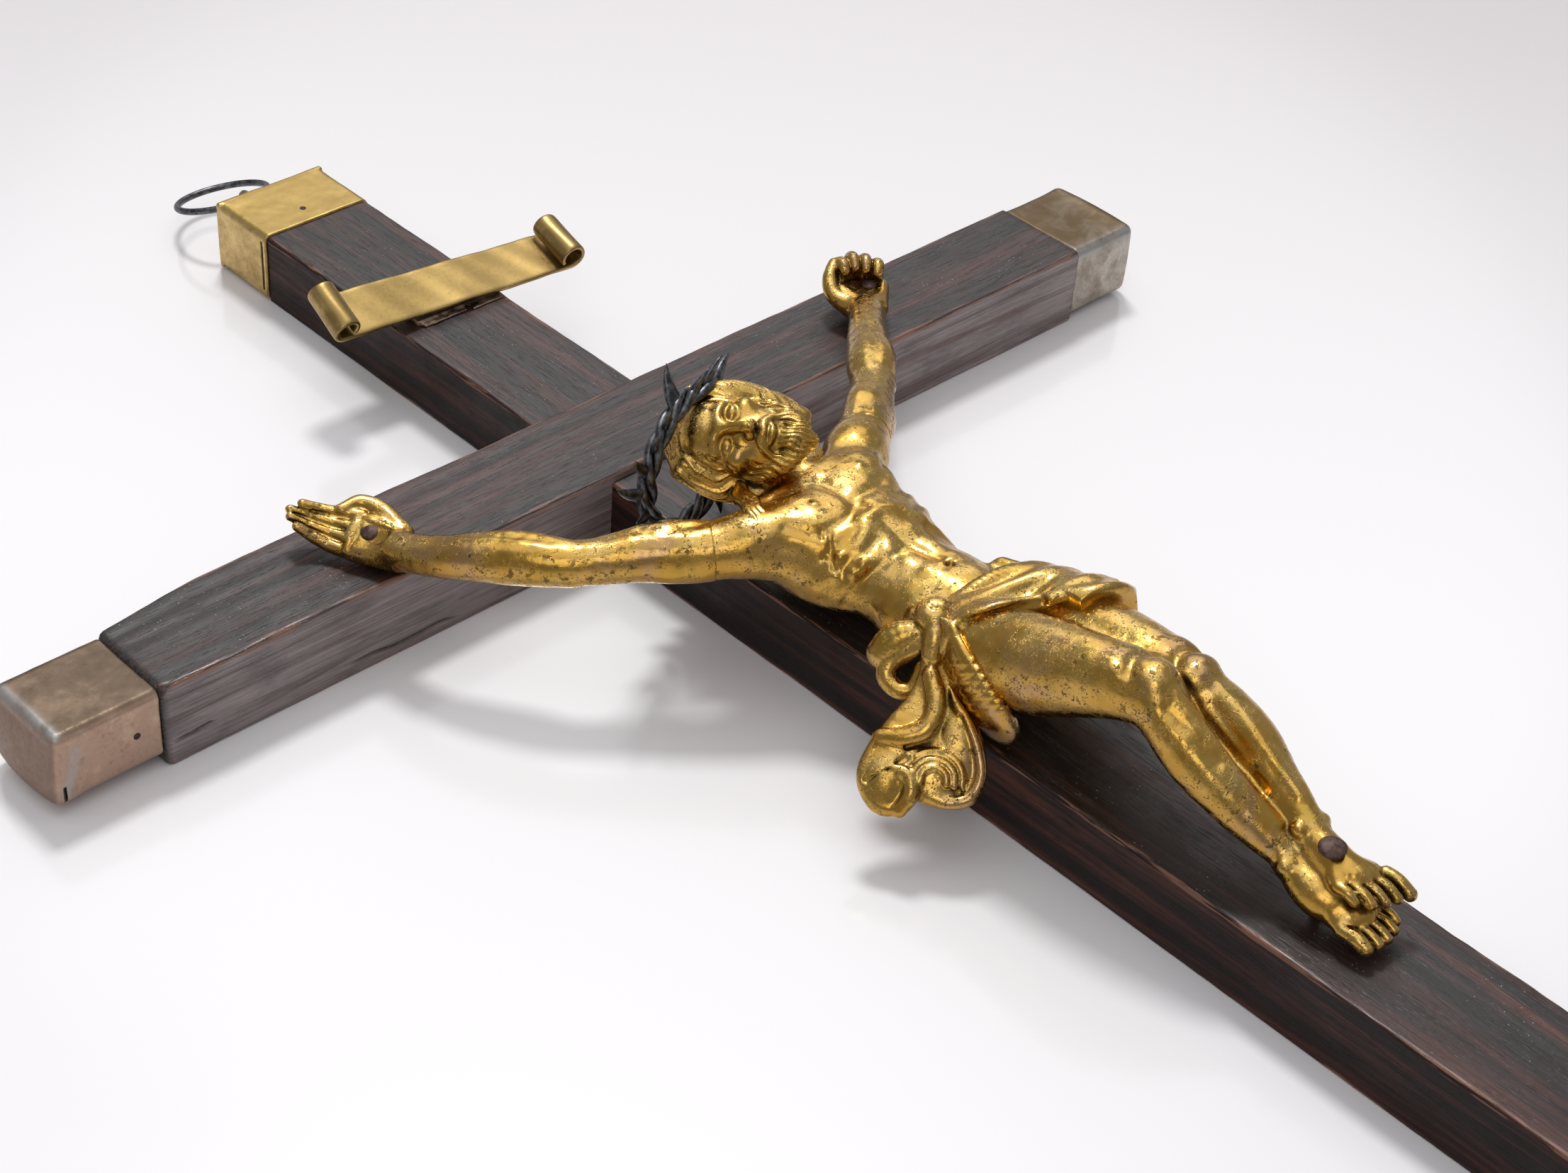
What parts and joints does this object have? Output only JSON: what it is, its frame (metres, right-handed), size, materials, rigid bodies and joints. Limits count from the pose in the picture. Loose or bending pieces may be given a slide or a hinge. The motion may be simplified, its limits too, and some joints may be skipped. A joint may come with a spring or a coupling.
{
  "type": "crucifix",
  "caption": "Wall crucifix: dark hardwood cross with capped ends, hanging ring, rolled title scroll and a gilt cast figure with a crown of thorns, held by nails.",
  "frame": {"origin": "middle of the crossing, on the flat back face", "axes": "+X to the right along the bar seen from the front, +Y up the post, +Z out of the front"},
  "size_m": [0.275, 0.4926, 0.052],
  "materials": {
    "rosewood": "worn polish over very dark hardwood",
    "gilt_brass": "bright gilt, lightly tarnished",
    "aged_brass": "brown and olive patina",
    "gilt_bronze": "fire gilt, worn, dark pits in the recesses",
    "grey_metal": "dull dark silver grey",
    "dark_iron": "brown-black forged iron"
  },
  "bodies": {
    "cross": {"upright_post": "rosewood", "crossbar": "rosewood", "top_end_cap": "gilt_brass", "foot_end_cap": "aged_brass", "left_end_cap": "aged_brass", "right_end_cap": "aged_brass", "cap_pins": "dark_iron", "hanging_eye": "aged_brass", "title_scroll": "gilt_brass", "title_bracket": "aged_brass", "corpus_body": "gilt_bronze", "corpus_right_arm": "gilt_bronze", "corpus_left_arm": "gilt_bronze", "loincloth_knot": "gilt_bronze", "crown_of_thorns": "grey_metal", "right_hand_nail": "dark_iron", "left_hand_nail": "dark_iron", "foot_nail": "dark_iron"},
    "ring": {"hanging_ring": "grey_metal"}
  },
  "joints": [
    {"name": "ring_swing", "type": "hinge", "parent": "cross", "child": "ring", "pos_m": [-0.004, 0.1227, 0.012], "axis": [1, 0, 0], "range_deg": [-12, 120]}
  ]
}
